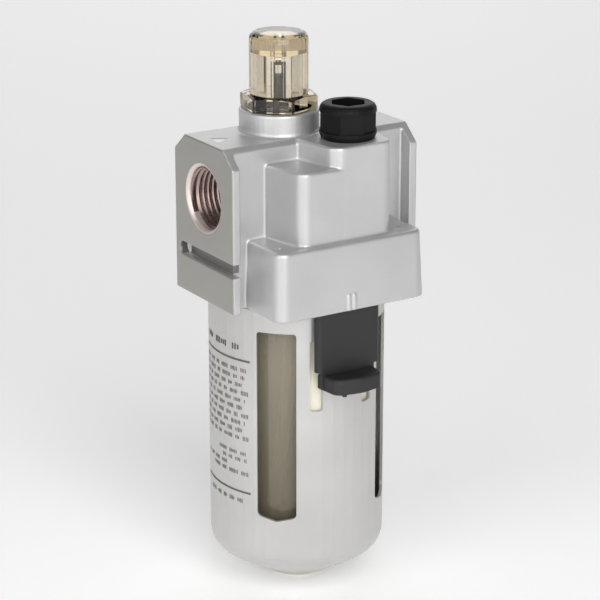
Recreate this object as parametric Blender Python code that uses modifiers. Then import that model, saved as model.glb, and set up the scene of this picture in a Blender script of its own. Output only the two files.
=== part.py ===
"""Air-line oil mist lubricator, modelled as an assembly of separate solids.

Frame: the pipe line runs along X (inlet at -X, outlet at +X), the front of the unit faces -Y
and Z is up. The origin is the middle of the pipe line. Driving dimensions are in millimetres.
"""
import math

import bmesh
import bpy
from mathutils import Matrix

MM = 0.001
GAP = 0.3  # clearance between pieces that touch or seal
STEP = 0.04  # offset that keeps two cast faces from lying in one plane

# Body casting
PORT_FACE_X = 35.0
PLATE_X = 32.0
PLATE_Y = 18.4
PLATE_CHAMFER_Y = 6.5
PLATE_CHAMFER_Z = 5.6
BLOCK_Y = 13.6
TOP_Z = 18.7
BASE_Z = -34.3
GROOVE_Z = (-22.0, -17.7)
GROOVE_END_Y = 13.6
SKIRT_TOP_Z = -11.8
SKIRT_TOP_HALF = (27.5, 32.7)
SKIRT_BASE_HALF = (28.3, 33.8)
SKIRT_SHIFT_X = 0.75
SKIRT_CORNER_R = 3.8
BOX_FRONT_Y = -30.3
BOX_FRONT_X = 17.3
BOX_REAR_X = 20.2
BOX_LEFT_FRONT_X = -16.6
BOX_CORNER_R = 3.6
BOSS_CORNER_R = 5.0
SHELF_Z = 12.1
BOSS_LEFT_FRONT_X = -4.4
BOSS_LEFT_REAR_X = -7.8

# Bores of the body
PORT_R = 10.3
PORT_MOUTH_R = 11.25
PORT_DEPTH = 15.0
PASSAGE_R = 7.0
SEAL_BORE_R = 23.4
SEAL_BORE_TOP_Z = -15.0
BAYONET_BORE_R = 27.8
BAYONET_TOP_Z = -22.5
BODY_LUG_R = 26.5
BODY_LUG_Z = (-33.2, -30.6)
LUG_ANGLES = (45.0, 135.0, 225.0, 315.0)
LUG_HALF_ANGLE = 13.0
DOME_SEAT_R = 10.7
STEM_SEAL_R = 3.3
STEM_SEAL_Z = 14.4
STEM_BORE_R = 1.95
FILL_BORE_R = 6.85
FILL_SEAT_R = 8.1
FILL_SEAT_Z = 16.4
GALLERY_Z = 5.0  # floor of the bores under the dome and the filler plug
FILL_HOLE_XY = (4.5, -14.9)
FILL_HOLE_R = 3.6
CORE_X = (11.1, 23.4)
CORE_Y = (20.3, 30.7)
CORE_TOP_Z = -14.2

# Cast marks
ARROW_X = (-30.9, 25.4)
ARROW_LENGTH = 5.7
ARROW_HALF_WIDTH = 3.2
ARROW_DEPTH = 0.4
DIMPLE_X = (-23.2, 23.2)
DIMPLE_Y = -26.0
RIB_X = (-1.0, 1.0)
RIB_HEIGHT = 5.4

# Sight dome and its collar
DOME_XY = (-5.6, 1.6)
COLLAR_R = 13.0
COLLAR_Z = 26.0
DOME_R = 9.6
DOME_TOP_Z = 50.8
DOME_SHOULDER_R = 2.5
DOME_CAVITY_R = 7.1
DOME_CAVITY_TOP_Z = 44.0
DOME_FOOT_R = 8.6
DOME_FOOT_Z = 17.5
HEX_R = 12.75
HEX_Z = (26.25, 30.3)
HEX_CHAMFER_TOP_Z = 31.1
HEX_TURN = -13.0
CAVITY_TURN = -2.0
SOCKET_R = 8.9
SOCKET_Z = 16.0
STEM_R = 1.15
STEM_HOLE_R = 0.5
STEM_TOP_Z = 40.9
STEM_WINDOW_Z = (37.0, 40.2)
STEM_WINDOW_HALF = 0.6
STEM_WINDOW_TURN = -32.0

# Filler plug
PLUG_XY = (7.5, -19.1)
PLUG_R = 9.2
PLUG_Z = (18.95, 30.15)
PLUG_FLATS_R = 9.15
PLUG_FLATS_Z = (21.3, 27.4)
PLUG_THREAD_R = 6.5
PLUG_FOOT_Z = 8.0
KEY_R = 6.0
KEY_FLOOR_Z = 23.2

# Siphon
SIPHON_XY = (-5.6, 9.2)
SIPHON_TUBE_R = 2.4
SIPHON_TUBE_BORE_R = 1.5
SIPHON_BORE_R = 1.3
SIPHON_SEAT_R = 3.3
SIPHON_SEAT_Z = -8.0
STRAINER_XY = (-6.8, 2.8)
STRAINER_R = 4.4
STRAINER_Z = (-120.1, -112.3)
BALL_R = 1.45
BALL_Z = -11.9

# Flow damper in the air passage
DAMPER_R = 6.0
DAMPER_X = (-11.2, -10.5)
DAMPER_HINGE_Z = 5.2
SLEEVE_R = 6.65
SLEEVE_BORE_R = 5.3
SLEEVE_X = (-17.0, -11.6)

# Bowl
BOWL_R = 24.5
BOWL_WALL = 2.2
BOWL_NECK_R = 23.0
BOWL_TOP_Z = -16.0
BOWL_FLANGE_R = 25.9
BOWL_FLANGE_Z = (-27.5, -25.5)
BOWL_KNEE_Z = -114.0
BOWL_BOSS_R = 9.7
BOWL_BOSS_Z = -133.6

# Bowl guard
GUARD_R = 29.3
GUARD_WALL = 1.0
GUARD_TOP_Z = -34.65
GUARD_NECK_R = 26.1
GUARD_NECK_BORE_R = 24.9
GUARD_NECK_TOP_Z = -27.8
GUARD_LUG_R = 27.4
GUARD_LUG_Z = (-30.2, -27.9)
GUARD_KNEE_Z = -119.9
GUARD_KNEE_R = 7.5
GUARD_KNEE_ANGLE = -59.0
GUARD_CONE_END = (13.2, -133.5)
GUARD_HOLE_R = 10.2
GUARD_HOLE_Z = -135.0
WINDOW_ANGLES = (45.0, 135.0, 225.0, 315.0)
WINDOW_HALF_WIDTH = 6.6
WINDOW_Z = (-107.9, -42.2)
WINDOW_POINT = 1.6

# Bowl lock
LOCK_HALF_WIDTH = 12.0
LOCK_CORNER_R = 1.8
LOCK_FRONT_Y = -32.2
LOCK_BACK_Y = -28.7
LOCK_SIDE_BACK_Y = -30.1
LOCK_BASE_Z = -54.1
LEDGE_Z = (-60.3, -55.2)
LEDGE_HALF_WIDTH = 9.8
LEDGE_FRONT_Y = -40.3
NUB_XY = (-5.6, -38.2)
LOCK_STROKE = 4.5
FOOT_Z = (-50.0, -44.0)
LEG_SLOT_X = (7.4, 11.7)
LEG_SLOT_Z = (-69.0, -45.0)
HOLDER_R = (25.1, 27.7)
HOLDER_Z = (-71.0, -37.0)
SPRING_XY = (0.0, -26.0)
SPRING_R = 0.75
SPRING_WIRE_R = 0.2
SPRING_Z = (-61.6, -50.3)

# Drain plug
DRAIN_HEAD_R = 9.25
DRAIN_Z = (-136.8, -133.9)
DRAIN_SHANK_R = 3.8
DRAIN_SHANK_TOP_Z = -121.5

PARTS_NAME = "air_line_lubricator"
CUTTERS_NAME = "cutters"


def clear_scene():
    for obj in list(bpy.data.objects):
        bpy.data.objects.remove(obj, do_unlink=True)
    for name in (PARTS_NAME, CUTTERS_NAME):
        group = bpy.data.collections.new(name)
        bpy.context.scene.collection.children.link(group)


def material(name, rgb, roughness, metallic=0.0, alpha=1.0):
    mat = bpy.data.materials.get(name)
    if mat is None:
        mat = bpy.data.materials.new(name)
        mat.use_nodes = True
        shader = mat.node_tree.nodes["Principled BSDF"]
        shader.inputs["Base Color"].default_value = (*rgb, 1.0)
        shader.inputs["Roughness"].default_value = roughness
        shader.inputs["Metallic"].default_value = metallic
        shader.inputs["Alpha"].default_value = alpha
    return mat


def place(name, mesh, group=CUTTERS_NAME):
    """Put a mesh in the scene as an object of the parts or of the cutters."""
    obj = bpy.data.objects.new(name, mesh)
    bpy.data.collections[group].objects.link(obj)
    if group == CUTTERS_NAME:
        obj.hide_render = True
        obj.display_type = "WIRE"
    return obj


def finish_mesh(name, bm, group):
    mesh = bpy.data.meshes.new(name)
    bmesh.ops.recalc_face_normals(bm, faces=bm.faces)
    bm.to_mesh(mesh)
    bm.free()
    return place(name, mesh, group)


def box(name, low, high, group=CUTTERS_NAME):
    bm = bmesh.new()
    bmesh.ops.create_cube(bm, size=1.0)
    for vert in bm.verts:
        vert.co = [(lo + hi) / 2 * MM + c * (hi - lo) * MM for lo, hi, c in zip(low, high, vert.co)]
    return finish_mesh(name, bm, group)


def rod(name, radius, ends, centre=(0.0, 0.0), axis="Z", steps=24, turn=0.0, group=CUTTERS_NAME,
        far_radius=None):
    """A cylinder, prism or cone between two places on an axis; far_radius is at the upper end."""
    bm = bmesh.new()
    top_radius = radius if far_radius is None else far_radius
    bmesh.ops.create_cone(bm, cap_ends=True, segments=steps, radius1=radius * MM,
                          radius2=top_radius * MM, depth=(ends[1] - ends[0]) * MM)
    bmesh.ops.rotate(bm, verts=bm.verts, matrix=Matrix.Rotation(math.radians(turn), 3, "Z"))
    middle = (ends[0] + ends[1]) / 2
    shift = Matrix.Translation((centre[0] * MM, centre[1] * MM, middle * MM))
    if axis == "X":
        shift = Matrix.Translation((middle * MM, centre[0] * MM, centre[1] * MM))
        shift = shift @ Matrix.Rotation(math.radians(90), 4, "Y")
    bmesh.ops.transform(bm, matrix=shift, verts=bm.verts)
    return finish_mesh(name, bm, group)


def arc(centre, radius, start, end, steps):
    """Points on an arc from one angle to another, in degrees."""
    angles = [math.radians(start + (end - start) * i / steps) for i in range(steps + 1)]
    return [(centre[0] + radius * math.cos(a), centre[1] + radius * math.sin(a)) for a in angles]


def rounded(points, radii, steps=5):
    """The outline of a convex polygon (anticlockwise) with each corner rounded to its radius."""
    outline = []
    count = len(points)
    for i, (point, radius) in enumerate(zip(points, radii)):
        if radius == 0:
            outline.append(point)
            continue
        before, after = points[i - 1], points[(i + 1) % count]
        angle_in = math.atan2(before[1] - point[1], before[0] - point[0])
        angle_out = math.atan2(after[1] - point[1], after[0] - point[0])
        half = ((angle_in - angle_out) % (2 * math.pi)) / 2
        bisector = angle_out + half
        reach = radius / math.sin(half)
        centre = (point[0] + reach * math.cos(bisector), point[1] + reach * math.sin(bisector))
        start = math.degrees(angle_in) + 90
        sweep = 180 - math.degrees(2 * half)
        outline += arc(centre, radius, start, start + sweep, steps)
    return outline


def prism(name, outline, low, high, axis="Z", turn=0.0, group=CUTTERS_NAME, bevel_top=0.0):
    """A flat outline given thickness.

    The outline is in (X, Y) for axis Z, in (Y, Z) for axis X, and for axis -Y in (X, Z) with the
    thickness counted towards -Y. A turn about Z comes last.
    """
    curve = bpy.data.curves.new(name, "CURVE")
    curve.dimensions = "2D"
    curve.fill_mode = "BOTH"
    curve.extrude = (high - low) / 2 * MM
    spline = curve.splines.new("POLY")
    spline.points.add(len(outline) - 1)
    for point, (x, y) in zip(spline.points, outline):
        point.co = (x * MM, y * MM, 0.0, 1.0)
    spline.use_cyclic_u = True
    guide = bpy.data.objects.new(name + "_outline", curve)
    bpy.context.scene.collection.objects.link(guide)
    bpy.context.view_layer.update()
    flat = bpy.data.meshes.new_from_object(guide.evaluated_get(bpy.context.evaluated_depsgraph_get()))
    bpy.data.objects.remove(guide, do_unlink=True)
    bm = bmesh.new()
    bm.from_mesh(flat)
    bpy.data.meshes.remove(flat)
    bmesh.ops.remove_doubles(bm, verts=bm.verts, dist=1e-6)
    bmesh.ops.dissolve_limit(bm, angle_limit=math.radians(1), verts=bm.verts, edges=bm.edges)
    bmesh.ops.translate(bm, verts=bm.verts, vec=(0, 0, (low + high) / 2 * MM))
    if bevel_top:
        rim = [edge for edge in bm.edges if all(abs(v.co.z - high * MM) < 1e-6 for v in edge.verts)]
        bmesh.ops.bevel(bm, geom=rim, offset=bevel_top * MM, segments=3, profile=0.5, affect="EDGES")
    axes = {
        "Z": Matrix.Identity(4),
        "X": Matrix(((0, 0, 1, 0), (1, 0, 0, 0), (0, 1, 0, 0), (0, 0, 0, 1))),
        "-Y": Matrix(((1, 0, 0, 0), (0, 0, -1, 0), (0, 1, 0, 0), (0, 0, 0, 1))),
    }
    frame = Matrix.Rotation(math.radians(turn), 4, "Z") @ axes[axis]
    bmesh.ops.transform(bm, matrix=frame, verts=bm.verts)
    return finish_mesh(name, bm, group)


def turned(name, profile, steps=48, centre=(0.0, 0.0), closed=False, group=CUTTERS_NAME, turn=0.0):
    """A turned solid. The profile of (radius, height) runs down its outer side first."""
    verts = [(radius * MM, 0.0, height * MM) for radius, height in profile]
    edges = [(i, i + 1) for i in range(len(verts) - 1)]
    if closed:
        edges.append((len(verts) - 1, 0))
    mesh = bpy.data.meshes.new(name)
    mesh.from_pydata(verts, edges, [])
    obj = place(name, mesh, group)
    obj.location = (centre[0] * MM, centre[1] * MM, 0.0)
    obj.rotation_euler.z = math.radians(turn)
    screw = obj.modifiers.new("turn", "SCREW")
    screw.steps = steps
    screw.render_steps = steps
    screw.use_merge_vertices = True
    screw.merge_threshold = 0.00001
    return obj


def ring(name, major, minor, height, centre=(0.0, 0.0), steps=36):
    """A round seal, made as a turned circle."""
    profile = arc((major, height), minor, 90, -210, 5)
    return turned(name, profile, steps, centre, closed=True, group=PARTS_NAME)


def combine(obj, others, operation):
    for other in others:
        modifier = obj.modifiers.new(other.name, "BOOLEAN")
        modifier.operation = operation
        modifier.object = other
        modifier.solver = "EXACT"


def cut(obj, *cutters):
    combine(obj, cutters, "DIFFERENCE")


def join(obj, *pieces):
    combine(obj, pieces, "UNION")


def keep(obj, *pieces):
    combine(obj, pieces, "INTERSECT")


def finish(obj, mat, smooth_angle=35.0):
    obj.data.materials.append(mat)
    if obj.data.polygons:
        obj.data.shade_smooth()
        obj.data.set_sharp_from_angle(angle=math.radians(smooth_angle))
    return obj


def origin_at(obj, point):
    """Put an object's origin on a point of its joint's axis and leave its shape in place."""
    offset = [coordinate * MM for coordinate in point]
    obj.data.transform(Matrix.Translation([-coordinate for coordinate in offset]))
    obj.location = offset


def sector(name, radius, inner, heights, angle, half_angle, steps=4):
    """A piece of a ring between two radii, centred on an angle."""
    outline = arc((0, 0), radius, angle - half_angle, angle + half_angle, steps)
    outline += arc((0, 0), inner, angle + half_angle, angle - half_angle, steps)
    return prism(name, outline, heights[0], heights[1])


def skirt_shape():
    """The rectangular collar round the bowl: drafted sides, rounded corners and top edge."""
    bm = bmesh.new()
    bmesh.ops.create_cube(bm, size=2.0)
    for vert in bm.verts:
        half = SKIRT_TOP_HALF if vert.co.z > 0 else SKIRT_BASE_HALF
        height = SKIRT_TOP_Z if vert.co.z > 0 else BASE_Z - 1.0
        vert.co = ((vert.co.x * half[0] + SKIRT_SHIFT_X) * MM, vert.co.y * half[1] * MM, height * MM)
    corners = [edge for edge in bm.edges if abs(edge.verts[0].co.z - edge.verts[1].co.z) > MM]
    bmesh.ops.bevel(bm, geom=corners, offset=SKIRT_CORNER_R * MM, segments=5, profile=0.5,
                    affect="EDGES")
    top = [edge for edge in bm.edges if all(v.co.z > (SKIRT_TOP_Z - 0.01) * MM for v in edge.verts)]
    bmesh.ops.bevel(bm, geom=top, offset=1.0 * MM, segments=2, profile=0.5, affect="EDGES")
    return finish_mesh("skirt", bm, CUTTERS_NAME)


def body_outer():
    """The solid casting before it is bored."""
    flat_y = PLATE_Y - PLATE_CHAMFER_Y
    shoulder_z = TOP_Z - PLATE_CHAMFER_Z
    under_z = BASE_Z - 2.0
    plate = [(-PLATE_Y, under_z), (PLATE_Y, under_z), (PLATE_Y, shoulder_z), (flat_y, TOP_Z),
             (-flat_y, TOP_Z), (-PLATE_Y, shoulder_z)]
    casting = prism("body", plate, -PORT_FACE_X, PORT_FACE_X, axis="X", group=PARTS_NAME)
    cut(casting, box("front_recess", (-PLATE_X, -PLATE_Y - 2, under_z - 2), (PLATE_X, -BLOCK_Y, 25.0)),
        box("rear_recess", (-PLATE_X, BLOCK_Y, under_z - 2), (PLATE_X, PLATE_Y + 2, 25.0)))

    rear_y = -10.0
    shelf_end_x = 4.0
    shelf_front_y = BOX_FRONT_Y + STEP
    shelf = [(-BOX_REAR_X, -BLOCK_Y), (BOX_LEFT_FRONT_X, shelf_front_y), (shelf_end_x, shelf_front_y),
             (shelf_end_x, rear_y), (-BOX_REAR_X, rear_y)]
    boss = [(BOSS_LEFT_REAR_X, -BLOCK_Y), (BOSS_LEFT_FRONT_X, BOX_FRONT_Y),
            (BOX_FRONT_X, BOX_FRONT_Y), (BOX_REAR_X, -BLOCK_Y), (BOX_REAR_X, rear_y),
            (BOSS_LEFT_REAR_X, rear_y)]
    shelf_box = prism("oil_box", rounded(shelf, [0, BOX_CORNER_R, 0, 0, 0]), SKIRT_TOP_Z - 1, SHELF_Z,
                      bevel_top=0.8)
    boss_box = prism("plug_boss", rounded(boss, [0, BOSS_CORNER_R, BOX_CORNER_R, 0, 0, 0]),
                     SKIRT_TOP_Z - 1, TOP_Z + STEP, bevel_top=0.8)
    collar = turned("collar", [(0, COLLAR_Z), (COLLAR_R - 0.4, COLLAR_Z), (COLLAR_R, COLLAR_Z - 0.4),
                               (COLLAR_R, TOP_Z + 1.0), (COLLAR_R + 0.3, TOP_Z + 0.3),
                               (COLLAR_R + 0.7, TOP_Z - 0.1), (COLLAR_R - 0.5, TOP_Z - 2.5),
                               (COLLAR_R - 0.5, SKIRT_TOP_Z - 1), (0, SKIRT_TOP_Z - 1)], 48, DOME_XY)
    join(casting, skirt_shape(), shelf_box, boss_box, collar)
    cut(casting, box("underside", (-50.0, -50.0, BASE_Z - 8), (50.0, 50.0, BASE_Z)))
    return casting


def port_cutters():
    cutters = []
    for name, side in (("inlet", -1), ("outlet", 1)):
        bottom = PORT_FACE_X - PORT_DEPTH
        thread = rod(name + "_thread", PORT_R, sorted((side * bottom, side * (PORT_FACE_X + 2))),
                     axis="X", steps=32, turn=2.0)
        mouth_ends = sorted((side * (PORT_FACE_X - 1.5), side * (PORT_FACE_X + 0.05)))
        inner_r = PORT_R - 0.5
        radii = (inner_r, PORT_MOUTH_R) if side > 0 else (PORT_MOUTH_R, inner_r)
        mouth = rod(name + "_mouth", radii[0], mouth_ends, axis="X", steps=32, turn=2.0,
                    far_radius=radii[1])
        cutters += [thread, mouth]
    cutters.append(rod("air_passage", PASSAGE_R, (-PORT_FACE_X + 10, PORT_FACE_X - 10), axis="X",
                       steps=32, turn=2.0))
    return cutters


def body_cutters():
    """Everything that is bored, milled or cored out of the casting."""
    cutters = port_cutters()
    groove_r = (GROOVE_Z[1] - GROOVE_Z[0]) / 2
    groove = [(-PLATE_Y - 2, GROOVE_Z[1]), (-PLATE_Y - 2, GROOVE_Z[0])]
    groove += arc((GROOVE_END_Y, GROOVE_Z[0] + groove_r), groove_r, -90, 90, 8)
    for name, side in (("inlet_groove", -1), ("outlet_groove", 1)):
        ends = sorted((side * PLATE_X, side * (PORT_FACE_X + 1)))
        cutters.append(prism(name, groove, ends[0], ends[1], axis="X"))
    bowl_bore = [(0, SEAL_BORE_TOP_Z), (SEAL_BORE_R, SEAL_BORE_TOP_Z), (SEAL_BORE_R, BAYONET_TOP_Z),
                 (BAYONET_BORE_R, BAYONET_TOP_Z), (BAYONET_BORE_R, BASE_Z - 2), (0, BASE_Z - 2)]
    cutters.append(turned("bowl_bore", bowl_bore, 48))
    dome_bore = [(0, COLLAR_Z + 1), (DOME_SEAT_R, COLLAR_Z + 1), (DOME_SEAT_R, COLLAR_Z - 2.1),
                 (SOCKET_R, COLLAR_Z - 2.1), (SOCKET_R, SOCKET_Z), (STEM_SEAL_R, SOCKET_Z),
                 (STEM_SEAL_R, STEM_SEAL_Z), (STEM_BORE_R, STEM_SEAL_Z), (STEM_BORE_R, GALLERY_Z),
                 (0, GALLERY_Z)]
    cutters.append(turned("dome_socket", dome_bore, 32, DOME_XY, turn=3.0))
    plug_bore = [(0, TOP_Z + 1), (FILL_SEAT_R, TOP_Z + 1), (FILL_SEAT_R, FILL_SEAT_Z),
                 (FILL_BORE_R, FILL_SEAT_Z), (FILL_BORE_R, GALLERY_Z), (0, GALLERY_Z)]
    cutters.append(turned("plug_bore", plug_bore, 32, PLUG_XY, turn=3.0))
    cutters.append(rod("fill_hole", FILL_HOLE_R, (SEAL_BORE_TOP_Z - 1, GALLERY_Z + 0.5), FILL_HOLE_XY,
                       steps=16))
    siphon_bore = [(0, SOCKET_Z + 0.5), (SIPHON_BORE_R, SOCKET_Z + 0.5),
                   (SIPHON_BORE_R, SIPHON_SEAT_Z), (SIPHON_SEAT_R, SIPHON_SEAT_Z),
                   (SIPHON_SEAT_R, SEAL_BORE_TOP_Z - 1), (0, SEAL_BORE_TOP_Z - 1)]
    cutters.append(turned("siphon_bore", siphon_bore, 20, SIPHON_XY, turn=7.0))
    for name, turn_x, turn_y in (("a", 1, 1), ("b", -1, 1), ("c", -1, -1), ("d", 1, -1)):
        corners = [(CORE_X[1] * turn_x, CORE_Y[0] * turn_y), (CORE_X[1] * turn_x, CORE_Y[1] * turn_y),
                   (CORE_X[0] * turn_x, CORE_Y[1] * turn_y)]
        if turn_x * turn_y < 0:
            corners.reverse()
        cutters.append(prism("core_" + name, rounded(corners, [1.5, 2.5, 1.5], 2), BASE_Z - 1,
                             CORE_TOP_Z))
    for name, x in zip(("inlet_arrow", "outlet_arrow"), ARROW_X):
        triangle = [(x, -ARROW_HALF_WIDTH), (x + ARROW_LENGTH, 0), (x, ARROW_HALF_WIDTH)]
        cutters.append(prism(name, triangle, TOP_Z - ARROW_DEPTH, TOP_Z + 1))
    for name, x in zip(("left_dimple", "right_dimple"), DIMPLE_X):
        cutters.append(rod(name, 0.7, (SKIRT_TOP_Z - 0.6, SKIRT_TOP_Z + 0.2), (x, DIMPLE_Y), steps=12,
                           far_radius=1.3))
    return cutters


def body_details():
    """Bayonet lugs inside the skirt and the two locating ribs on its front edge."""
    pieces = [sector("body_lug_%d" % angle, BAYONET_BORE_R + 0.6, BODY_LUG_R, BODY_LUG_Z, angle,
                     LUG_HALF_ANGLE) for angle in LUG_ANGLES]
    draft = (SKIRT_BASE_HALF[1] - SKIRT_TOP_HALF[1]) / (SKIRT_TOP_Z - BASE_Z)
    front_y = -SKIRT_BASE_HALF[1]
    rib_z = (BASE_Z + 0.1, BASE_Z + RIB_HEIGHT)
    for name, x in zip(("left_rib", "right_rib"), RIB_X):
        rib = [(front_y - 0.35, rib_z[0]), (front_y + 1, rib_z[0]), (front_y + 1, rib_z[1]),
               (front_y - 0.35 + draft * (rib_z[1] - rib_z[0]), rib_z[1])]
        pieces.append(prism(name, rib, x - 0.4, x + 0.4, axis="X"))
    return pieces


def make_body(metal):
    casting = body_outer()
    cut(casting, *body_cutters())
    join(casting, *body_details())
    finish(casting, metal)


def make_sight_dome(clear, black, rubber):
    shoulder = arc((DOME_R - DOME_SHOULDER_R, DOME_TOP_Z - DOME_SHOULDER_R), DOME_SHOULDER_R, 90, 0, 5)
    profile = [(0, DOME_TOP_Z)] + shoulder + [(DOME_R, HEX_CHAMFER_TOP_Z), (DOME_R, HEX_Z[0] + 0.5),
                                              (DOME_FOOT_R, HEX_Z[0] + 0.5),
                                              (DOME_FOOT_R, DOME_FOOT_Z), (0, DOME_FOOT_Z)]
    dome = turned("sight_dome", profile, 32, DOME_XY, group=PARTS_NAME)
    nut = rod("dome_hex", HEX_R, (HEX_Z[0], HEX_CHAMFER_TOP_Z + 1), DOME_XY, steps=6, turn=HEX_TURN)
    slope = (HEX_CHAMFER_TOP_Z - HEX_Z[1]) / (HEX_R - DOME_R)
    tip_z = HEX_CHAMFER_TOP_Z + DOME_R * slope
    cone = turned("dome_hex_cone", [(0, tip_z), (HEX_R + 2, HEX_Z[1] - 2 * slope),
                                    (HEX_R + 2, HEX_Z[0] - 1), (0, HEX_Z[0] - 1)], 32, DOME_XY)
    keep(nut, cone)
    cavity = rod("dome_cavity", DOME_CAVITY_R, (DOME_FOOT_Z - 1, DOME_CAVITY_TOP_Z), DOME_XY, steps=6,
                 turn=CAVITY_TURN)
    needle_hole = rod("needle_hole", 1.6, (DOME_CAVITY_TOP_Z - 1, 47.6), DOME_XY, steps=12)
    join(dome, nut)
    cut(dome, cavity, needle_hole)
    finish(dome, clear)

    tip_z = STEM_TOP_Z + 0.25
    needle = [(0, 47.3), (1.3, 47.3), (1.3, 43.0), (0.95, 42.6), (0.95, tip_z + 0.8), (0.35, tip_z),
              (0, tip_z)]
    finish(turned("needle_valve", needle, 16, DOME_XY, group=PARTS_NAME), clear)

    flange_z = SOCKET_Z + GAP
    stem = [(STEM_R, STEM_TOP_Z), (STEM_R, flange_z + 4.1), (3.4, flange_z + 2.9),
            (5.6, flange_z + 2.3), (5.6, flange_z + 0.9), (6.2, flange_z + 0.9), (6.2, flange_z),
            (1.6, flange_z), (1.6, GALLERY_Z + 2.8), (STEM_HOLE_R, GALLERY_Z + 2.8),
            (STEM_HOLE_R, STEM_TOP_Z)]
    drip_stem = turned("drip_stem", stem, 20, DOME_XY, closed=True, group=PARTS_NAME)
    outline = [(-STEM_WINDOW_HALF, -2), (STEM_WINDOW_HALF, -2), (STEM_WINDOW_HALF, 2),
               (-STEM_WINDOW_HALF, 2)]
    window = prism("stem_window", outline, *STEM_WINDOW_Z, turn=STEM_WINDOW_TURN)
    window.location = (DOME_XY[0] * MM, DOME_XY[1] * MM, 0)
    cut(drip_stem, window)
    finish(drip_stem, black)
    finish(ring("drip_stem_o_ring", 2.45, 0.6, STEM_SEAL_Z + 0.9, DOME_XY, 16), rubber)
    finish(ring("dome_o_ring", 9.65, 0.85, COLLAR_Z - 1.0, DOME_XY, 28), rubber)


def make_fill_plug(black, rubber):
    crown = arc((PLUG_R - 2.0, PLUG_Z[1] - 2.0), 2.0, 90, 0, 4)
    neck_r = 5.6
    thread_top_z = FILL_SEAT_Z - GAP
    profile = [(0, PLUG_Z[1])] + crown + [(PLUG_R, PLUG_Z[0] + 1.2), (PLUG_R - 0.5, PLUG_Z[0]),
                                          (neck_r, PLUG_Z[0]), (neck_r, thread_top_z),
                                          (PLUG_THREAD_R, thread_top_z),
                                          (PLUG_THREAD_R, PLUG_FOOT_Z + 0.6),
                                          (PLUG_THREAD_R - 0.6, PLUG_FOOT_Z), (0, PLUG_FOOT_Z)]
    plug = turned("fill_plug", profile, 32, PLUG_XY, group=PARTS_NAME)
    grip = rod("grip_flats", PLUG_R + 3.0, PLUG_FLATS_Z, PLUG_XY, steps=32)
    cut(grip, rod("grip_octagon", PLUG_FLATS_R, (PLUG_FLATS_Z[0] - 1, PLUG_FLATS_Z[1] + 1), PLUG_XY,
                  steps=8, turn=-2.7))
    cut(plug, grip)
    cut(plug, rod("key_socket", KEY_R, (KEY_FLOOR_Z, PLUG_Z[1] + 1), PLUG_XY, steps=6, turn=-32.0))
    finish(plug, black)
    finish(ring("fill_plug_o_ring", 6.9, 0.9, 17.75, PLUG_XY, 28), rubber)


def make_damper(black, rubber):
    """The flap that makes the pressure drop, and the sleeve that it closes on."""
    sleeve = rod("damper_sleeve", SLEEVE_R, SLEEVE_X, axis="X", steps=28, group=PARTS_NAME)
    cut(sleeve, rod("damper_sleeve_bore", SLEEVE_BORE_R, (SLEEVE_X[0] - 1, SLEEVE_X[1] + 1), axis="X",
                    steps=28))
    finish(sleeve, black)
    flap = rod("damper", DAMPER_R, DAMPER_X, axis="X", steps=24, group=PARTS_NAME)
    cut(flap, box("damper_top", (DAMPER_X[0] - 2, -8.0, DAMPER_HINGE_Z), (DAMPER_X[1] + 2, 8.0, 8.0)))
    origin_at(flap, ((DAMPER_X[0] + DAMPER_X[1]) / 2, 0.0, DAMPER_HINGE_Z))
    finish(flap, rubber)


def tube_along(name, points, radius, bevel_steps=2):
    """A round bar along a smooth route, as a mesh."""
    curve = bpy.data.curves.new(name, "CURVE")
    curve.dimensions = "3D"
    curve.bevel_depth = radius * MM
    curve.bevel_resolution = bevel_steps
    curve.use_fill_caps = True
    spline = curve.splines.new("POLY")
    spline.points.add(len(points) - 1)
    for point, place_mm in zip(spline.points, points):
        point.co = (*(c * MM for c in place_mm), 1.0)
    guide = bpy.data.objects.new(name + "_route", curve)
    bpy.context.scene.collection.objects.link(guide)
    bpy.context.view_layer.update()
    mesh = bpy.data.meshes.new_from_object(guide.evaluated_get(bpy.context.evaluated_depsgraph_get()))
    bpy.data.objects.remove(guide, do_unlink=True)
    bm = bmesh.new()
    bm.from_mesh(mesh)
    bpy.data.meshes.remove(mesh)
    bmesh.ops.remove_doubles(bm, verts=bm.verts, dist=1e-6)
    return bm


def smooth_route(stations, steps):
    """Points on a smooth line through hand-picked stations (Catmull-Rom)."""
    padded = [stations[0]] + list(stations) + [stations[-1]]
    route = []
    for p0, p1, p2, p3 in zip(padded, padded[1:], padded[2:], padded[3:]):
        for i in range(steps):
            t = i / steps
            route.append(tuple(
                0.5 * (2 * b + (c - a) * t + (2 * a - 5 * b + 4 * c - d) * t * t
                       + (3 * b - a - 3 * c + d) * t ** 3)
                for a, b, c, d in zip(p0, p1, p2, p3)))
    route.append(stations[-1])
    return route


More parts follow.
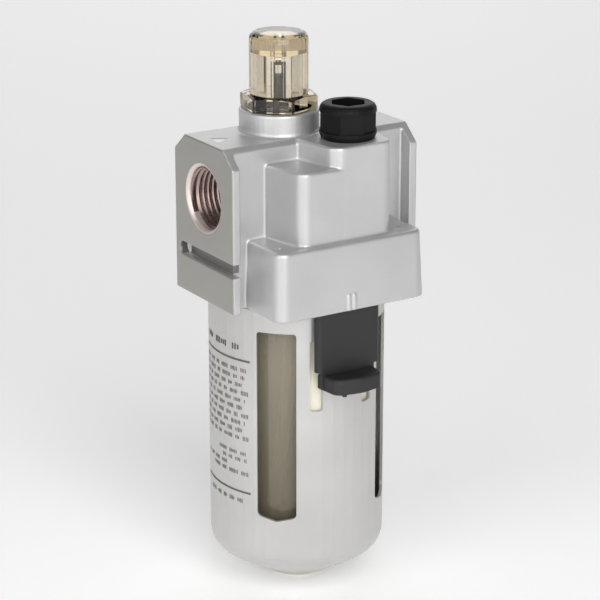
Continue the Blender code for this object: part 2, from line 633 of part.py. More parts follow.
def make_siphon(black, clear, steel, bronze):
    """Fitting in the body's ceiling, check ball, oil tube and the sintered strainer."""
    x, y = SIPHON_XY
    fitting = [(3.0, -8.3), (3.0, -15.3), (4.4, -15.3), (4.4, -17.0), (1.15, -17.0), (1.15, -20.4),
               (0.6, -20.4), (0.6, -14.0), (2.0, -12.8), (2.0, -9.2), (1.0, -9.2), (1.0, -8.3)]
    finish(turned("siphon_fitting", fitting, 20, SIPHON_XY, closed=True, group=PARTS_NAME), black)
    bm = bmesh.new()
    bmesh.ops.create_icosphere(bm, subdivisions=2, radius=BALL_R * MM)
    ball = finish(finish_mesh("check_ball", bm, PARTS_NAME), steel)
    ball.location = (x * MM, y * MM, BALL_Z * MM)

    low, high = STRAINER_Z
    tube_end = (*STRAINER_XY, high + GAP)
    route = smooth_route([(x, y, -17.4), (x, y, -23.0), (-1.4, 8.0, -33.0), (1.2, 6.2, -48.0),
                          (0.2, 4.6, -66.0), (-3.0, 3.2, -86.0), (-6.0, 2.8, -104.0), tube_end], 2)
    tube = finish_mesh("siphon_tube", tube_along("siphon_tube", route, SIPHON_TUBE_R), PARTS_NAME)
    bore_route = [(x, y, -16.4)] + route + [(*STRAINER_XY, high - 1)]
    bore = tube_along("siphon_tube_bore", bore_route, SIPHON_TUBE_BORE_R)
    cut(tube, finish_mesh("siphon_tube_bore", bore, CUTTERS_NAME))
    finish(tube, clear)
    strainer = [(0, high), (STRAINER_R - 0.8, high), (STRAINER_R, high - 0.8), (STRAINER_R, low + 0.5),
                (STRAINER_R - 0.5, low), (0, low)]
    finish(turned("strainer", strainer, 20, STRAINER_XY, group=PARTS_NAME), bronze)


def make_bowl(smoke, rubber):
    knee = BOWL_R - 14.5
    inner_knee = knee - BOWL_WALL
    inner_r = BOWL_R - BOWL_WALL
    profile = [(BOWL_NECK_R, BOWL_TOP_Z), (BOWL_NECK_R, -17.8), (20.5, -17.8), (20.5, -20.6),
               (BOWL_NECK_R, -20.6), (BOWL_NECK_R, BOWL_FLANGE_Z[1]), (BOWL_FLANGE_R, BOWL_FLANGE_Z[1]),
               (BOWL_FLANGE_R, BOWL_FLANGE_Z[0]), (BOWL_R, BOWL_FLANGE_Z[0])]
    profile += arc((BOWL_R - knee, BOWL_KNEE_Z), knee, 0, -70, 4)
    profile += [(BOWL_BOSS_R, -126.4), (BOWL_BOSS_R, BOWL_BOSS_Z), (6.5, BOWL_BOSS_Z), (6.5, -131.3),
                (4.1, -131.3), (4.1, -123.9)]
    profile += arc((BOWL_R - knee, BOWL_KNEE_Z), inner_knee, -70, 0, 4)
    profile += [(inner_r, -31.0), (19.0, -26.5), (19.0, BOWL_TOP_Z)]
    finish(turned("bowl", profile, 40, closed=True, group=PARTS_NAME), smoke)
    finish(ring("bowl_o_ring", 21.95, 1.15, -19.2, steps=40), rubber)


def window_cutter(angle):
    """One sight window: square top corners, and a shallow point at the bottom."""
    low, high = WINDOW_Z
    width = WINDOW_HALF_WIDTH
    outline = rounded([(0, low), (width, low + WINDOW_POINT), (width, high), (-width, high),
                       (-width, low + WINDOW_POINT)], [0, 1.6, 1.0, 1.0, 1.6], 3)
    return prism("window_%d" % angle, outline, 20.0, 34.0, axis="-Y", turn=angle)


def make_guard(metal):
    knee_centre = (GUARD_R - GUARD_KNEE_R, GUARD_KNEE_Z)
    inner_r = GUARD_R - GUARD_WALL
    shoulder_z = GUARD_TOP_Z - 2.0
    profile = [(GUARD_NECK_R, GUARD_NECK_TOP_Z), (GUARD_NECK_R, GUARD_TOP_Z),
               (GUARD_R - 0.5, GUARD_TOP_Z), (GUARD_R, GUARD_TOP_Z - 0.5)]
    cone_r, cone_z = GUARD_CONE_END
    profile += arc(knee_centre, GUARD_KNEE_R, 0, GUARD_KNEE_ANGLE, 5)
    profile += [(cone_r, cone_z), (cone_r - 1.3, GUARD_HOLE_Z + 0.3), (GUARD_HOLE_R + 0.5, GUARD_HOLE_Z),
                (GUARD_HOLE_R, GUARD_HOLE_Z), (GUARD_HOLE_R, GUARD_HOLE_Z + GUARD_WALL + 0.5),
                (cone_r, cone_z + GUARD_WALL + 0.2)]
    profile += arc(knee_centre, GUARD_KNEE_R - GUARD_WALL, GUARD_KNEE_ANGLE, 0, 5)
    profile += [(inner_r, shoulder_z), (GUARD_NECK_BORE_R, shoulder_z),
                (GUARD_NECK_BORE_R, GUARD_NECK_TOP_Z)]
    guard = turned("bowl_guard", profile, 48, closed=True, group=PARTS_NAME)
    join(guard, *[sector("guard_lug_%d" % angle, GUARD_LUG_R, GUARD_NECK_R - 0.6, GUARD_LUG_Z, angle,
                         LUG_HALF_ANGLE) for angle in LUG_ANGLES])
    cut(guard, *[window_cutter(angle) for angle in WINDOW_ANGLES])
    stem_slot_z = (FOOT_Z[0] - LOCK_STROKE - 0.8, FOOT_Z[1] + 0.6)
    cut(guard, box("stem_slot", (-4.8, -32.0, stem_slot_z[0]), (4.8, -22.0, stem_slot_z[1])))
    for name, side in (("left_leg_slot", -1), ("right_leg_slot", 1)):
        ends = sorted((side * LEG_SLOT_X[0], side * LEG_SLOT_X[1]))
        slot = [(ends[0], LEG_SLOT_Z[0]), (ends[1], LEG_SLOT_Z[0]), (ends[1], LEG_SLOT_Z[1]),
                (ends[0], LEG_SLOT_Z[1])]
        cut(guard, prism(name, rounded(slot, [1.2, 1.2, 0, 0], 3), 22.0, 32.0, axis="-Y"))
    finish(guard, metal)


def ledge_outline():
    """Plan of the thumb ledge: straight sides and a bulging front."""
    half = LEDGE_HALF_WIDTH
    corner = (half - 0.9, LEDGE_FRONT_Y + 1.9)
    outline = [(-half, LOCK_BACK_Y), (-corner[0], corner[1]), (0, LEDGE_FRONT_Y), corner,
               (half, LOCK_BACK_Y)]
    return rounded(outline, [0, 3.0, 11.0, 3.0, 0])


def make_lock(black, cream, steel):
    """Sprung button that locks the bowl, the holder it slides in, and its return spring."""
    half = LOCK_HALF_WIDTH
    plate = [(-half, LOCK_FRONT_Y), (half, LOCK_FRONT_Y), (half, LOCK_SIDE_BACK_Y),
             (-half, LOCK_SIDE_BACK_Y)]
    button = prism("lock_button", rounded(plate, [LOCK_CORNER_R, LOCK_CORNER_R, 0, 0]), LOCK_BASE_Z,
                   GUARD_TOP_Z, group=PARTS_NAME)
    tongue = box("lock_tongue", (-LEDGE_HALF_WIDTH, LOCK_FRONT_Y + 0.3, LEDGE_Z[0] + STEP),
                 (LEDGE_HALF_WIDTH, LOCK_SIDE_BACK_Y + STEP, LOCK_BASE_Z + 1))
    ledge = prism("ledge", ledge_outline(), LEDGE_Z[0], LEDGE_Z[1], bevel_top=1.0)
    nub = rod("ledge_nub", 0.8, (LEDGE_Z[0] - 0.7, LEDGE_Z[0] + 1), NUB_XY, steps=12)
    join(button, tongue, ledge, nub)
    cut(button, rod("guard_clearance", GUARD_R + GAP, (-70.0, -30.0), steps=48))
    stem = box("lock_stem", (-4.3, LOCK_FRONT_Y + 0.9, FOOT_Z[0]), (4.3, -25.6, FOOT_Z[1]))
    foot = box("lock_foot", (-6.0, -26.6, FOOT_Z[0] + STEP), (6.0, -25.6 - STEP, FOOT_Z[1] - STEP))
    join(button, stem, foot)
    origin_at(button, (*SPRING_XY, FOOT_Z[0]))
    finish(button, black)

    holder = turned("lock_holder", [(HOLDER_R[1], HOLDER_Z[1]), (HOLDER_R[1], HOLDER_Z[0]),
                                    (HOLDER_R[0], HOLDER_Z[0]), (HOLDER_R[0], HOLDER_Z[1])],
                    48, closed=True, group=PARTS_NAME)
    keep(holder, box("holder_span", (-13.2, -30.0, -80.0), (13.2, -20.0, -30.0)))
    cut(holder, box("holder_pocket", (-6.4, -30.0, SPRING_Z[0] - 0.2), (6.4, -20.0, FOOT_Z[1] + 0.6)))
    finish(holder, cream)

    turns = 8
    steps_per_turn = 8
    height = SPRING_Z[1] - SPRING_Z[0] - 2 * SPRING_WIRE_R
    points = []
    for i in range(turns * steps_per_turn + 1):
        angle = 2 * math.pi * i / steps_per_turn
        rise = height * i / (turns * steps_per_turn)
        points.append((SPRING_XY[0] + SPRING_R * math.cos(angle),
                       SPRING_XY[1] + SPRING_R * math.sin(angle),
                       SPRING_Z[0] + SPRING_WIRE_R + rise))
    coil = tube_along("lock_spring", points, SPRING_WIRE_R, bevel_steps=1)
    finish(finish_mesh("lock_spring", coil, PARTS_NAME), steel)


def make_drain(cream, rubber):
    profile = [(0, DRAIN_SHANK_TOP_Z), (DRAIN_SHANK_R - 0.6, DRAIN_SHANK_TOP_Z),
               (DRAIN_SHANK_R, DRAIN_SHANK_TOP_Z - 0.6), (DRAIN_SHANK_R, DRAIN_Z[1]),
               (DRAIN_HEAD_R - 0.3, DRAIN_Z[1]), (DRAIN_HEAD_R, DRAIN_Z[1] - 0.3),
               (DRAIN_HEAD_R, DRAIN_Z[0] + 1.0), (DRAIN_HEAD_R - 1.0, DRAIN_Z[0]), (0, DRAIN_Z[0])]
    plug = turned("drain_plug", profile, 28, group=PARTS_NAME)
    cut(plug, box("coin_slot", (-6.5, -0.9, DRAIN_Z[0] - 1), (6.5, 0.9, DRAIN_Z[0] + 1.4)))
    finish(plug, cream)
    finish(ring("drain_o_ring", 5.2, 0.85, -132.5, steps=24), rubber)


def main():
    clear_scene()
    cast = material("painted_die_cast", (0.56, 0.56, 0.56), 0.42, 0.35)
    silver = material("silver_guard", (0.66, 0.66, 0.66), 0.35, 0.5)
    black = material("black_plastic", (0.03, 0.03, 0.03), 0.45)
    soft_black = material("matt_black_plastic", (0.045, 0.045, 0.045), 0.6)
    rubber = material("nitrile_rubber", (0.02, 0.02, 0.02), 0.7)
    amber = material("amber_clear", (0.78, 0.7, 0.52), 0.05, 0.0, 0.45)
    smoke = material("smoke_clear", (0.4, 0.36, 0.28), 0.08, 0.0, 0.5)
    steel = material("spring_steel", (0.6, 0.6, 0.62), 0.3, 1.0)
    cream = material("natural_nylon", (0.8, 0.78, 0.68), 0.5)
    tube = material("clear_nylon", (0.85, 0.84, 0.78), 0.2, 0.0, 0.7)
    bronze = material("sintered_bronze", (0.5, 0.36, 0.2), 0.8, 0.8)

    make_body(cast)
    make_sight_dome(amber, soft_black, rubber)
    make_fill_plug(black, rubber)
    make_damper(soft_black, rubber)
    make_siphon(soft_black, tube, steel, bronze)
    make_bowl(smoke, rubber)
    make_guard(silver)
    make_lock(soft_black, cream, steel)
    make_drain(cream, rubber)


main()
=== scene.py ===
"""Looks of the air-line oil mist lubricator: camera, studio, materials and fine pieces.

Sizes are in millimetres unless a line says otherwise, and the frame is that of the CAD.
"""

import math
import random

import bmesh
import bpy
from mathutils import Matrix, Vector


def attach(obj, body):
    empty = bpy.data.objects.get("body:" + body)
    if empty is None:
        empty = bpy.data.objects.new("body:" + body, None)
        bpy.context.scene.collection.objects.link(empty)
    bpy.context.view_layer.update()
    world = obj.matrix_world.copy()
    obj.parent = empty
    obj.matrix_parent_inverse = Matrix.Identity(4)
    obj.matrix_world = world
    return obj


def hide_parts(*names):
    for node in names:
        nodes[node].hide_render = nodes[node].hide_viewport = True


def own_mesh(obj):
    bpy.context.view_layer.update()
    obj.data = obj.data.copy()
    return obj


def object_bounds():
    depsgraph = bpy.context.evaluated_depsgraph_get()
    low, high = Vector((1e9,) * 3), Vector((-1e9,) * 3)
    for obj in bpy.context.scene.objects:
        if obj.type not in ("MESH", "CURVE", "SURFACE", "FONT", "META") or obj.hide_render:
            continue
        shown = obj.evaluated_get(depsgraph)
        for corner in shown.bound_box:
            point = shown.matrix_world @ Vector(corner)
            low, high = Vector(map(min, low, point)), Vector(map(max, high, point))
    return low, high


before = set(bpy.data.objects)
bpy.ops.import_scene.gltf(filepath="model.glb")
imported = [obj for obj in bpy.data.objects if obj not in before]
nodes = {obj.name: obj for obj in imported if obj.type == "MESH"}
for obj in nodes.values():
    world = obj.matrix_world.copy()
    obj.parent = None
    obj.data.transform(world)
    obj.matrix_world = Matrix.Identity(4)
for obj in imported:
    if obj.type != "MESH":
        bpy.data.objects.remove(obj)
cad_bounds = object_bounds()

MM = 0.001

# Ports and their internal threads
PORT_FACE_X = 35.0
PORT_FACE_MARGIN = 0.25
COUNTERSINK_R = 11.4
MOUTH_DEPTH = 16.0
THREAD_PITCH = 1.814
THREAD_CREST_R = 9.4
THREAD_ROOT_R = 10.14
THREAD_X = (21.0, 33.9)
THREAD_CREST = (0.34, 0.62, 0.96)  # where the crest starts and ends and the flank ends, in pitches
THREAD_STEPS = 64  # steps in a turn
THREAD_FADE = 24  # steps over which the thread's ends run out

# The print on the guard: two rules, a heading, a block of rows, four short rows and a foot.
# Angles are in degrees from the front; a stroke is its height, its width and the gap after it.
LABEL_R = 29.34
LABEL_ANGLES = (-115.0, -63.0)
LABEL_RULES_Z = (-53.2, -99.4)
LABEL_RULE_HALF = 0.35
LABEL_HEADING_Z = -48.9
LABEL_HEADING_MARGINS = (5, 10)
LABEL_HEADING_STROKE = (2.1, 0.7, 0.45)
LABEL_ROWS = 10
LABEL_ROWS_Z = -56.6
LABEL_ROW_STEP = 2.64
LABEL_ROW_STROKE = (1.5, 0.28, 0.34)
LABEL_NOTES = ((-92.0, -65.0), (-88.0, -66.0), (-112.0, -84.0), (-100.0, -64.5))
LABEL_NOTES_Z = -85.8
LABEL_NOTE_STEP = 2.35
LABEL_NOTE_STROKE = (1.4, 0.28, 0.34)
LABEL_FOOT_ANGLES = (-105.0, -69.0)
LABEL_FOOT_Z = -102.7
WORD_LENGTHS = (3, 7)  # strokes in a word-like group
WORD_GAP = 2.2  # in strokes

# The latch's coil spring
SPRING_XY = (0.0, -26.0)
SPRING_R = 0.75
SPRING_WIRE_R = 0.2
SPRING_Z = (-61.6, -50.3)
SPRING_TURNS = 8

# The clamp grooves in the end plates and the flow arrows on top
GROOVE_X = (30.0, 34.8)
GROOVE_Z = (-21.9, -17.6)
ARROW_X = ((-31.0, -25.1), (25.3, 31.2))
ARROW_Z = (18.10, 18.60)
ARROW_HALF_WIDTH = 3.3

# Tones on the cast body, as linear colours; the first two multiply the paint. The second is painted
# shade in the clamp grooves, the third a painted highlight on the flow arrows.
PORT_FACE_TONE = (0.68, 0.655, 0.61, 1.0)
GROOVE_PAINTED_SHADE = (0.40, 0.39, 0.37, 1.0)
ARROW_PAINTED_HIGHLIGHT = (0.8, 0.8, 0.79, 1.0)

# Rounding of the cast body: voxel in metres, smoothing rounds, share of faces kept
BODY_SKIN = (0.00034, 3, 0.17)

# Camera, in metres and as a focal length for a 36 mm sensor
CAMERA_PLACE = Vector((-0.38662, -0.61962, 0.20390))
CAMERA_TARGET = Vector((0.00103, -0.00065, -0.04026))
CAMERA_LENS = 139.12

# Studio, in metres and watts. A lamp is its place, its target, its width and height, its power.
LAMPS = {
    "key": ((-0.24, -0.92, 0.52), (0, 0, -0.04), (0.75, 1.1), 9.4),
    "left": ((-0.93, -0.38, 0.42), (0, 0, -0.04), (0.75, 1.1), 4.7),
    "back": ((0.5, 0.9, 0.7), (0.1, 0.2, -0.1), (1.4, 1.4), 6.2),
}
SKY_SINES = (0.12, 0.34)  # the sky fades from its horizon strength between these sines of elevation
SKY_STRENGTHS = (0.72, 0.08)
FLOOR_HALF = 3.0
FLOOR_DROP = 0.0002
FLOOR_GLOW = 0.18


# ---------------------------------------------------------------- materials

def srgb(red, green, blue):
    """A linear colour from sRGB values of 0 to 255."""
    def linear(value):
        value /= 255
        return value / 12.92 if value <= 0.04045 else ((value + 0.055) / 1.055) ** 2.4
    return (linear(red), linear(green), linear(blue), 1.0)


def scaled(colour, factor):
    """A linear colour made lighter or darker."""
    return tuple(min(1.0, channel * factor) for channel in colour[:3]) + (1,)


def shaded(name):
    """A new material, with its node tree and its Principled node."""
    mat = bpy.data.materials.new(name)
    mat.use_nodes = True
    tree = mat.node_tree
    return mat, tree, tree.nodes["Principled BSDF"]


def node(tree, kind, inputs=None, **settings):
    """A shader node with its settings and its unlinked inputs."""
    made = tree.nodes.new(kind)
    for key, value in settings.items():
        setattr(made, key, value)
    for key, value in (inputs or {}).items():
        made.inputs[key].default_value = value
    return made


def ramp(tree, source, stops):
    """A colour ramp fed by a socket."""
    made = tree.nodes.new("ShaderNodeValToRGB")
    elements = made.color_ramp.elements
    while len(elements) < len(stops):
        elements.new(0.5)
    for element, (place, colour) in zip(elements, stops):
        element.position = place
        element.color = colour
    tree.links.new(source, made.inputs["Fac"])
    return made


def noise(tree, scale, detail=3.0, roughness=0.5, stretch=(1, 1, 1)):
    """Noise in the object's own metres; scale is in features per metre."""
    place = node(tree, "ShaderNodeTexCoord")
    mapping = node(tree, "ShaderNodeMapping", {"Scale": stretch})
    made = node(tree, "ShaderNodeTexNoise", {"Scale": scale, "Detail": detail, "Roughness": roughness})
    tree.links.new(place.outputs["Object"], mapping.inputs["Vector"])
    tree.links.new(mapping.outputs["Vector"], made.inputs["Vector"])
    return made


def bump(tree, shader, height, distance, strength):
    """Fine relief; its distance is in metres."""
    made = node(tree, "ShaderNodeBump", {"Distance": distance, "Strength": strength})
    tree.links.new(height, made.inputs["Height"])
    tree.links.new(made.outputs["Normal"], shader.inputs["Normal"])


def varied_roughness(tree, shader, source, low, high):
    """Roughness that drifts between two values as a noise does."""
    made = node(tree, "ShaderNodeMapRange",
                {"From Min": 0.3, "From Max": 0.7, "To Min": low, "To Max": high})
    tree.links.new(source, made.inputs["Value"])
    tree.links.new(made.outputs["Result"], shader.inputs["Roughness"])


def separated(tree, output="Object"):
    """X, Y and Z of the object's own place in metres, or of another texture coordinate."""
    place = node(tree, "ShaderNodeTexCoord")
    parts = node(tree, "ShaderNodeSeparateXYZ")
    tree.links.new(place.outputs[output], parts.inputs["Vector"])
    return [parts.outputs[axis] for axis in "XYZ"]


def maths(tree, operation, first, second):
    """A math node; each input is a socket or a number."""
    made = node(tree, "ShaderNodeMath", operation=operation)
    for socket, value in zip(made.inputs, (first, second)):
        if isinstance(value, (int, float)):
            socket.default_value = value
        else:
            tree.links.new(value, socket)
    return made.outputs[0]


def between(tree, value, low, high):
    """A mask that is 1 where a value lies between two places in millimetres."""
    return maths(tree, "MULTIPLY", maths(tree, "GREATER_THAN", value, low * MM),
                 maths(tree, "LESS_THAN", value, high * MM))


def tinted(tree, mask, under, over, blend="MIX"):
    """Lay a colour over another where a mask is 1."""
    made = node(tree, "ShaderNodeMix", data_type="RGBA", blend_type=blend)
    tree.links.new(mask, made.inputs["Factor"])
    tree.links.new(under, made.inputs["A"])
    made.inputs["B"].default_value = over
    return made.outputs["Result"]


def all_of(tree, *masks):
    """A mask that is 1 where every mask is 1."""
    made = masks[0]
    for mask in masks[1:]:
        made = maths(tree, "MULTIPLY", made, mask)
    return made


def port_tones_and_painted_light(tree, paint):
    """The cast body's paint with its end faces and countersinks toned, painted shade in the clamp
    grooves and a painted highlight on the flow arrows.
    """
    x, y, z = separated(tree)
    reach = maths(tree, "ABSOLUTE", x, 0.0)
    squares = maths(tree, "ADD", maths(tree, "MULTIPLY", y, y), maths(tree, "MULTIPLY", z, z))
    face = maths(tree, "GREATER_THAN", reach, (PORT_FACE_X - PORT_FACE_MARGIN) * MM)
    mouth = all_of(tree, maths(tree, "LESS_THAN", squares, (COUNTERSINK_R * MM) ** 2),
                   maths(tree, "GREATER_THAN", reach, (PORT_FACE_X - MOUTH_DEPTH) * MM))
    groove_shade = all_of(tree, between(tree, reach, *GROOVE_X), between(tree, z, *GROOVE_Z))
    arrow_highlight = all_of(tree,
                   maths(tree, "ADD", between(tree, x, *ARROW_X[0]), between(tree, x, *ARROW_X[1])),
                   between(tree, z, *ARROW_Z),
                   between(tree, y, -ARROW_HALF_WIDTH, ARROW_HALF_WIDTH))
    toned = tinted(tree, face, paint, PORT_FACE_TONE, "MULTIPLY")
    toned = tinted(tree, mouth, toned, srgb(222, 208, 203))
    # Painted shade: the clamp grooves are darkened as if shade fell in them.
    toned = tinted(tree, groove_shade, toned, GROOVE_PAINTED_SHADE, "MULTIPLY")
    # Painted highlight: the engraved floors of the flow arrows are lightened as a highlight on them.
    return tinted(tree, arrow_highlight, toned, ARROW_PAINTED_HIGHLIGHT)


def silver_paint(name, colour, tones_and_painted_light=None):
    """Silver paint on metal: fine flake, faint mottling and a slight orange peel."""
    mat, tree, shader = shaded(name)
    base = srgb(*colour)
    shader.inputs["Metallic"].default_value = 0.65
    flake = noise(tree, 2600, 2.0).outputs["Fac"]
    mottle = noise(tree, 45, 3.0).outputs["Fac"]
    mix = maths(tree, "ADD", maths(tree, "MULTIPLY", flake, 0.35), mottle)
    colours = ramp(tree, mix, [(0.45, scaled(base, 0.95)), (0.9, scaled(base, 1.05))])
    colour_out = colours.outputs["Color"]
    if tones_and_painted_light:
        colour_out = tones_and_painted_light(tree, colour_out)
    tree.links.new(colour_out, shader.inputs["Base Color"])
    varied_roughness(tree, shader, mottle, 0.36, 0.45)
    bump(tree, shader, flake, 0.00001, 0.35)
    return mat


def plastic(name, colour, roughness, light=1.35, gloss=0.5):
    """Moulded plastic with a fine grain; its colour drifts up to light times as bright."""
    mat, tree, shader = shaded(name)
    shader.inputs["Specular IOR Level"].default_value = gloss
    base = srgb(*colour)
    cloud = noise(tree, 120, 4.0).outputs["Fac"]
    colours = ramp(tree, cloud, [(0.35, base), (0.7, scaled(base, light))])
    tree.links.new(colours.outputs["Color"], shader.inputs["Base Color"])
    varied_roughness(tree, shader, cloud, roughness - 0.05, roughness + 0.06)
    bump(tree, shader, noise(tree, 1500, 2.0).outputs["Fac"], 0.00002, 0.5)
    return mat


def clear_plastic(name, colour, tint, density, roughness, clarity=1.0, low_darkening=None):
    """Transparent plastic, tinted through its thickness; below 1 its clarity leaves a haze.

    A low darkening (low place, high place, tone) makes it darker towards the low place.
    """
    mat, tree, shader = shaded(name)
    shader.inputs["Transmission Weight"].default_value = clarity
    shader.inputs["IOR"].default_value = 1.49
    base = srgb(*colour)
    ripple = noise(tree, 260, 2.0).outputs["Fac"]
    colours = ramp(tree, ripple, [(0.35, base), (0.7, scaled(base, 1.04))])
    colour_out = colours.outputs["Color"]
    if low_darkening:
        low, high, tone = low_darkening
        depth = node(tree, "ShaderNodeMapRange",
                     {"From Min": low * MM, "From Max": high * MM, "To Min": 1.0, "To Max": 0.0})
        tree.links.new(separated(tree)[2], depth.inputs["Value"])
        colour_out = tinted(tree, depth.outputs["Result"], colour_out, tone, "MULTIPLY")
    tree.links.new(colour_out, shader.inputs["Base Color"])
    varied_roughness(tree, shader, ripple, roughness, roughness + 0.04)
    absorb = node(tree, "ShaderNodeVolumeAbsorption", {"Color": tint, "Density": density})
    tree.links.new(absorb.outputs["Volume"], tree.nodes["Material Output"].inputs["Volume"])
    return mat


def metal(name, colour, roughness, scale=900, stretch=(1, 1, 1), depth=0.00001):
    """Bare metal with machining marks."""
    mat, tree, shader = shaded(name)
    shader.inputs["Metallic"].default_value = 1.0
    base = srgb(*colour)
    marks = noise(tree, scale, 3.0, 0.6, stretch).outputs["Fac"]
    colours = ramp(tree, marks, [(0.35, scaled(base, 0.82)), (0.7, base)])
    tree.links.new(colours.outputs["Color"], shader.inputs["Base Color"])
    varied_roughness(tree, shader, marks, roughness - 0.05, roughness + 0.08)
    bump(tree, shader, marks, depth, 0.4)
    return mat


def dress(name, mat):
    """Give a CAD node its material."""
    mesh = nodes[name].data
    mesh.materials.clear()
    mesh.materials.append(mat)


# ---------------------------------------------------------------- studio

def aimed(place, target):
    """The rotation that points a camera or a lamp from a place to a target."""
    return (Vector(target) - Vector(place)).to_track_quat("-Z", "Y").to_euler()


def set_camera():
    scene = bpy.context.scene
    scene.view_settings.view_transform = "Standard"
    camera = bpy.data.objects.new("camera", bpy.data.cameras.new("camera"))
    camera.data.lens = CAMERA_LENS
    camera.data.sensor_width = 36.0
    camera.data.clip_start = 0.01
    camera.location = CAMERA_PLACE
    camera.rotation_euler = aimed(CAMERA_PLACE, CAMERA_TARGET)
    scene.collection.objects.link(camera)
    scene.camera = camera


def set_sky():
    """A white sky, pale at the horizon and dim overhead."""
    world = bpy.data.worlds.new("studio")
    world.use_nodes = True
    tree = world.node_tree
    background = tree.nodes["Background"]
    background.inputs["Color"].default_value = (1, 1, 1, 1)
    glow = node(tree, "ShaderNodeMapRange",
                {"From Min": SKY_SINES[0], "From Max": SKY_SINES[1],
                 "To Min": SKY_STRENGTHS[0], "To Max": SKY_STRENGTHS[1]})
    tree.links.new(separated(tree, "Generated")[2], glow.inputs["Value"])
    tree.links.new(glow.outputs["Result"], background.inputs["Strength"])
    bpy.context.scene.world = world


def set_floor():
    bm = bmesh.new()
    bmesh.ops.create_grid(bm, x_segments=8, y_segments=8, size=FLOOR_HALF)
    mesh = bpy.data.meshes.new("floor")
    bm.to_mesh(mesh)
    bm.free()
    floor = bpy.data.objects.new("floor", mesh)
    floor.location = (0, 0, cad_bounds[0][2] - FLOOR_DROP)
    bpy.context.scene.collection.objects.link(floor)
    mat, _, shader = shaded("pale_floor")
    shader.inputs["Base Color"].default_value = (0.97, 0.97, 0.97, 1)
    shader.inputs["Roughness"].default_value = 0.9
    shader.inputs["Emission Color"].default_value = (1, 1, 1, 1)
    shader.inputs["Emission Strength"].default_value = FLOOR_GLOW
    floor.data.materials.append(mat)


def set_lamps():
    for name, (place, target, size, power) in LAMPS.items():
        light = bpy.data.lights.new(name, "AREA")
        light.shape = "RECTANGLE"
        light.size, light.size_y = size
        light.energy = power
        lamp = bpy.data.objects.new(name, light)
        lamp.location = place
        lamp.rotation_euler = aimed(place, target)
        bpy.context.scene.collection.objects.link(lamp)


# ---------------------------------------------------------------- dressing

def dress_nodes():
    """Make each material and put it on its CAD nodes."""
    cast = silver_paint("silver_cast_paint", (196, 196, 196), port_tones_and_painted_light)
    guard = silver_paint("silver_guard_paint", (198, 197, 195))
    amber = clear_plastic("amber_clear", (255, 253, 248), (0.66, 0.54, 0.30, 1), 100.0, 0.0)
    smoke = clear_plastic("smoke_clear", (196, 187, 166), (0.66, 0.58, 0.42, 1), 50.0, 0.02, 0.66,
                          low_darkening=(-112.0, -55.0, (0.58, 0.55, 0.5, 1)))
    gloss_black = plastic("black_plug", (16, 16, 16), 0.46, gloss=0.14)
    matte_black = plastic("black_button", (30, 30, 30), 0.55)
    inner_black = plastic("black_inner", (44, 38, 36), 0.5)
    rubber = plastic("nitrile", (26, 26, 27), 0.7)
    cream = plastic("cream_nylon", (226, 222, 205), 0.45, light=1.05)
    tube = plastic("clear_nylon", (232, 226, 210), 0.3, light=1.05)
    steel = metal("spring_steel", (180, 180, 182), 0.3)
    bronze = metal("sintered_bronze", (150, 116, 80), 0.6, 3000, depth=0.00004)
    for names, mat in (
            (("body",), cast), (("bowl_guard",), guard),
            (("sight_dome", "needle_valve"), amber), (("bowl",), smoke),
            (("fill_plug",), gloss_black), (("lock_button",), matte_black),
            (("drip_stem", "damper_sleeve", "siphon_fitting"), inner_black),
            (("drip_stem_o_ring", "dome_o_ring", "fill_plug_o_ring", "bowl_o_ring", "drain_o_ring",
              "damper"), rubber),
            (("lock_holder", "drain_plug"), cream), (("siphon_tube",), tube),
            (("check_ball", "lock_spring"), steel), (("strainer",), bronze)):
        for name in names:
            dress(name, mat)


def mesh_piece(name, verts, faces, mat, body):
    """A fine piece given as points in millimetres and faces, riding on a body."""
    mesh = bpy.data.meshes.new(name)
    mesh.from_pydata([tuple(c * MM for c in vert) for vert in verts], [], faces)
    mesh.materials.append(mat)
    mesh.shade_smooth()
    mesh.set_sharp_from_angle(angle=math.radians(30))
    piece = bpy.data.objects.new(name, mesh)
    bpy.context.scene.collection.objects.link(piece)
    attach(piece, body)
    return piece


def port_thread(name, side, mat):
    """The internal thread of a port: one helical strip of flanks, crest and root."""
    low, high = THREAD_X
    turns = (high - low) / THREAD_PITCH - 1.0
    crest_start, crest_end, flank_end = THREAD_CREST
    section = [(0.0, THREAD_ROOT_R), (crest_start, THREAD_CREST_R),
               (crest_end, THREAD_CREST_R), (flank_end, THREAD_ROOT_R)]
    verts, faces = [], []
    count = int(turns * THREAD_STEPS)
    for i in range(count + 1):
        angle = 2 * math.pi * i / THREAD_STEPS
        fade = min(1.0, i / THREAD_FADE, (count - i) / THREAD_FADE)
        for along, radius in section:
            radius = THREAD_ROOT_R + (radius - THREAD_ROOT_R) * fade
            x = low + (i / THREAD_STEPS + along) * THREAD_PITCH
            verts.append((side * x, radius * math.cos(angle), side * radius * math.sin(angle)))
    for i in range(count):
        for k in range(len(section) - 1):
            a, b = i * len(section) + k, (i + 1) * len(section) + k
            faces.append((a, a + 1, b + 1, b))
    mesh_piece(name, verts, faces, mat, "casting")


def label_patch(verts, faces, angles, heights):
    """Add a curved patch of print to a list of points and faces; angles count from the front."""
    parts = max(1, int(abs(angles[1] - angles[0]) / 3))
    first = len(verts)
    for i in range(parts + 1):
        angle = math.radians(angles[0] + (angles[1] - angles[0]) * i / parts - 90)
        for height in heights:
            verts.append((LABEL_R * math.cos(angle), LABEL_R * math.sin(angle), height))
    for i in range(parts):
        a = first + 2 * i
        faces.append((a, a + 2, a + 3, a + 1))


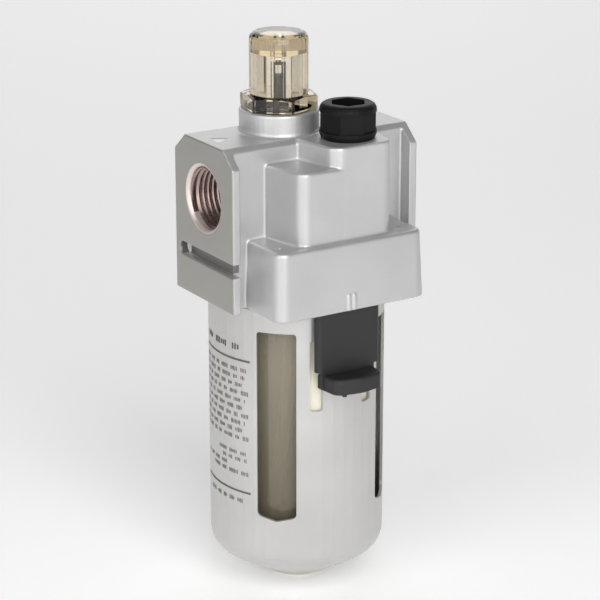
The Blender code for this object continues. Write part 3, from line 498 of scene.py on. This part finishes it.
def strokes(verts, faces, angles, middle, stroke, seed):
    """A row of generic strokes in word-like groups. They are not letters."""
    height, width, gap = stroke
    chance = random.Random(seed)
    degree = math.degrees(1 / LABEL_R)
    angle, end = angles
    left = chance.randint(*WORD_LENGTHS)
    while angle < end:
        half = height / 2 * chance.choice((0.75, 1.0, 1.0))
        if left:
            label_patch(verts, faces, (angle, angle + width * degree), (middle - half, middle + half))
            left -= 1
            angle += (width + gap) * degree
        else:
            left = chance.randint(*WORD_LENGTHS)
            angle += WORD_GAP * (width + gap) * degree


def print_label(ink):
    """The instruction print on the guard, as plain rules and strokes that spell nothing."""
    verts, faces = [], []
    low, high = LABEL_ANGLES
    for z in LABEL_RULES_Z:
        label_patch(verts, faces, (low, high), (z - LABEL_RULE_HALF, z + LABEL_RULE_HALF))
    before, after = LABEL_HEADING_MARGINS
    strokes(verts, faces, (low + before, high - after), LABEL_HEADING_Z, LABEL_HEADING_STROKE, 1)
    for row in range(LABEL_ROWS):
        strokes(verts, faces, (low, high - 1 - 3 * (row % 3)), LABEL_ROWS_Z - LABEL_ROW_STEP * row,
                LABEL_ROW_STROKE, 10 + row)
    for row, ends in enumerate(LABEL_NOTES):
        strokes(verts, faces, ends, LABEL_NOTES_Z - LABEL_NOTE_STEP * row, LABEL_NOTE_STROKE, 30 + row)
    strokes(verts, faces, LABEL_FOOT_ANGLES, LABEL_FOOT_Z, LABEL_ROW_STROKE, 40)
    mesh_piece("guard_print", verts, faces, ink, "bowl_unit")


def lock_coil(mat):
    """The latch's coil spring, at one fixed length; the real one shortens as the button slides down.
    """
    steps, sides = 16, 8
    count = SPRING_TURNS * steps
    height = SPRING_Z[1] - SPRING_Z[0] - 2 * SPRING_WIRE_R
    verts, faces = [], []
    for i in range(count + 1):
        angle = 2 * math.pi * i / steps
        middle = SPRING_Z[0] + SPRING_WIRE_R + height * i / count
        for k in range(sides):
            around = 2 * math.pi * k / sides
            radius = SPRING_R + SPRING_WIRE_R * math.cos(around)
            verts.append((SPRING_XY[0] + radius * math.cos(angle),
                          SPRING_XY[1] + radius * math.sin(angle),
                          middle + SPRING_WIRE_R * math.sin(around)))
    for i in range(count):
        for k in range(sides):
            a, b = i * sides + k, i * sides + (k + 1) % sides
            faces.append((a, a + sides, b + sides, b))
    faces += [tuple(range(sides)), tuple(range((count + 1) * sides - 1, count * sides - 1, -1))]
    piece = mesh_piece("lock_coil", verts, faces, mat, "bowl_unit")
    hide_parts("lock_spring")
    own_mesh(piece)


def soften(name, voxel, rounds, ratio):
    """Round every edge of a cast node a little, as paint and draft do."""
    obj = nodes[name]
    remesh = obj.modifiers.new("skin", "REMESH")
    remesh.mode = "VOXEL"
    remesh.voxel_size = voxel
    remesh.use_smooth_shade = True
    smooth = obj.modifiers.new("round", "SMOOTH")
    smooth.factor = 0.5
    smooth.iterations = rounds
    thin = obj.modifiers.new("thin", "DECIMATE")
    thin.ratio = ratio


set_camera()
set_sky()
set_floor()
set_lamps()
dress_nodes()
soften("body", *BODY_SKIN)
machined = metal("machined_thread", (176, 156, 150), 0.28, 400, (6, 1, 1))
port_thread("inlet_thread", -1, machined)
port_thread("outlet_thread", 1, machined)
print_label(plastic("brown_ink", (92, 80, 74), 0.6))
lock_coil(metal("coil_steel", (180, 180, 182), 0.3))
